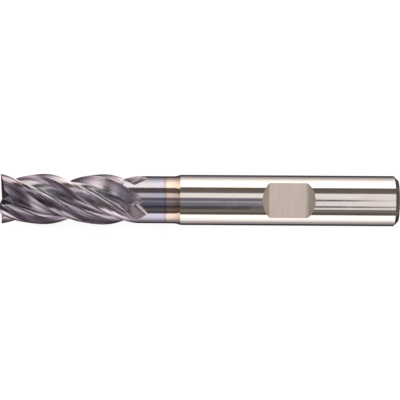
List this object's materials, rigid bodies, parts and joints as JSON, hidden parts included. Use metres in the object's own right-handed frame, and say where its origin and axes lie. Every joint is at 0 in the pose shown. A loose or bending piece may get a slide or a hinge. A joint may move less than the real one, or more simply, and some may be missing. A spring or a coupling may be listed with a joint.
{
  "type": "square end mill with flatted shank",
  "caption": "Solid-carbide square end mill with unequally spaced right-hand helical flutes, a relieved neck and a plain shank with one clamping flat.",
  "frame": {"origin": "centre of the shank's flat rear face, on the tool's axis", "axes": "+X along the tool's axis, out of the shank's rear face (the cutting end is at -X); +Z is the outward normal of the clamping flat"},
  "size_m": [0.063, 0.008, 0.008],
  "materials": {
    "coated_head": "satin ground carbide under a thin violet-grey hard coating",
    "coated_neck": "polished carbide under the coating's edge, violet-grey to blue, then a red line and gold-brown",
    "bright_shank": "mirror-ground bare carbide, with a fine cross-ground clamping flat"
  },
  "bodies": {
    "root": {"cutting_head": "coated_head", "relieved_neck": "coated_neck", "weldon_shank": "bright_shank"}
  },
  "joints": []
}
